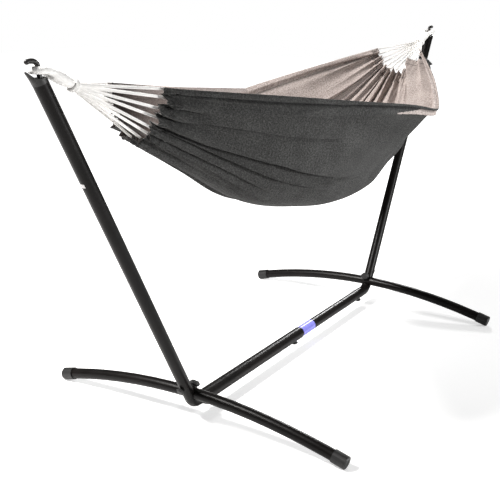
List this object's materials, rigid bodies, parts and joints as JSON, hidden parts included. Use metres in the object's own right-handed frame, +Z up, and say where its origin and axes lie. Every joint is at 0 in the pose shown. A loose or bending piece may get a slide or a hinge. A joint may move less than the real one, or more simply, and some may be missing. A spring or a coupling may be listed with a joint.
{
  "type": "hammock on stand",
  "caption": "Fabric hammock hung by string fans and rope eyes from hooks on a tubular stand with a telescoping beam, sloping uprights and arched legs.",
  "frame": {"origin": "on the floor, below the middle of the stand", "axes": "+X along the beam towards the far end, +Y towards the left legs, +Z up"},
  "size_m": [2.7404, 1.2088, 1.2685],
  "materials": {
    "powder_coat": "dark brown-black semi-gloss powder coat",
    "cap_plastic": "satin black moulded plastic",
    "knob_plastic": "satin black moulded plastic",
    "hook_plastic": "satin black moulded nylon",
    "hammock_cloth": "charcoal heather woven cotton blend",
    "white_cotton": "off-white cotton rope and string"
  },
  "bodies": {
    "stand": {"near_beam_tube": "powder_coat", "far_beam_tube": "powder_coat", "near_corner_tube": "powder_coat", "near_upright_tube": "powder_coat", "near_hook": "hook_plastic", "near_left_leg": "powder_coat", "near_left_leg_cap": "cap_plastic", "near_right_leg": "powder_coat", "near_right_leg_cap": "cap_plastic", "far_corner_tube": "powder_coat", "far_upright_tube": "powder_coat", "far_hook": "hook_plastic", "far_left_leg": "powder_coat", "far_left_leg_cap": "cap_plastic", "far_right_leg": "powder_coat", "far_right_leg_cap": "cap_plastic"},
    "hammock": {"hammock_bed": "hammock_cloth", "near_hanging_loop": "white_cotton", "near_knot": "white_cotton", "far_hanging_loop": "white_cotton", "far_knot": "white_cotton", "near_string_01": "white_cotton", "near_string_02": "white_cotton", "near_string_03": "white_cotton", "near_string_04": "white_cotton", "near_string_05": "white_cotton", "near_string_06": "white_cotton", "near_string_07": "white_cotton", "near_string_08": "white_cotton", "near_string_09": "white_cotton", "near_string_10": "white_cotton", "near_string_11": "white_cotton", "near_string_12": "white_cotton", "near_string_13": "white_cotton", "near_string_14": "white_cotton", "far_string_01": "white_cotton", "far_string_02": "white_cotton", "far_string_03": "white_cotton", "far_string_04": "white_cotton", "far_string_05": "white_cotton", "far_string_06": "white_cotton", "far_string_07": "white_cotton", "far_string_08": "white_cotton", "far_string_09": "white_cotton", "far_string_10": "white_cotton", "far_string_11": "white_cotton", "far_string_12": "white_cotton", "far_string_13": "white_cotton", "far_string_14": "white_cotton"},
    "near_beam_knob_turns": {"near_beam_knob": "knob_plastic"},
    "near_upright_knob_turns": {"near_upright_knob": "knob_plastic"},
    "near_crown_knob_turns": {"near_crown_knob": "knob_plastic"},
    "far_beam_knob_turns": {"far_beam_knob": "knob_plastic"},
    "far_upright_knob_turns": {"far_upright_knob": "knob_plastic"},
    "far_crown_knob_turns": {"far_crown_knob": "knob_plastic"},
    "sleeve_knob_turns": {"sleeve_knob": "knob_plastic"}
  },
  "joints": [
    {"name": "hammock_swing", "type": "hinge", "parent": "stand", "child": "hammock", "pos_m": [0, 0, 1.2393], "axis": [1, 0, 0], "range_deg": [-18, 18]},
    {"name": "near_beam_knob_turn", "type": "hinge", "parent": "stand", "child": "near_beam_knob_turns", "pos_m": [-0.62, 0, 0.0372], "axis": [0, 0, -1], "continuous": true},
    {"name": "near_upright_knob_turn", "type": "hinge", "parent": "stand", "child": "near_upright_knob_turns", "pos_m": [-0.76597, 0, 0.13515], "axis": [-0.8805, 0, -0.4741], "continuous": true},
    {"name": "near_crown_knob_turn", "type": "hinge", "parent": "stand", "child": "near_crown_knob_turns", "pos_m": [-0.69638, 0, 0.12132], "axis": [0.5736, 0, 0.8192], "continuous": true},
    {"name": "far_beam_knob_turn", "type": "hinge", "parent": "stand", "child": "far_beam_knob_turns", "pos_m": [0.62, 0, 0.0393], "axis": [0, 0, -1], "continuous": true},
    {"name": "far_upright_knob_turn", "type": "hinge", "parent": "stand", "child": "far_upright_knob_turns", "pos_m": [0.76597, 0, 0.13515], "axis": [0.8805, 0, -0.4741], "continuous": true},
    {"name": "far_crown_knob_turn", "type": "hinge", "parent": "stand", "child": "far_crown_knob_turns", "pos_m": [0.69638, 0, 0.12132], "axis": [-0.5736, 0, 0.8192], "continuous": true},
    {"name": "sleeve_knob_turn", "type": "hinge", "parent": "stand", "child": "sleeve_knob_turns", "pos_m": [0.012, 0, 0.0372], "axis": [0, 0, -1], "continuous": true}
  ]
}
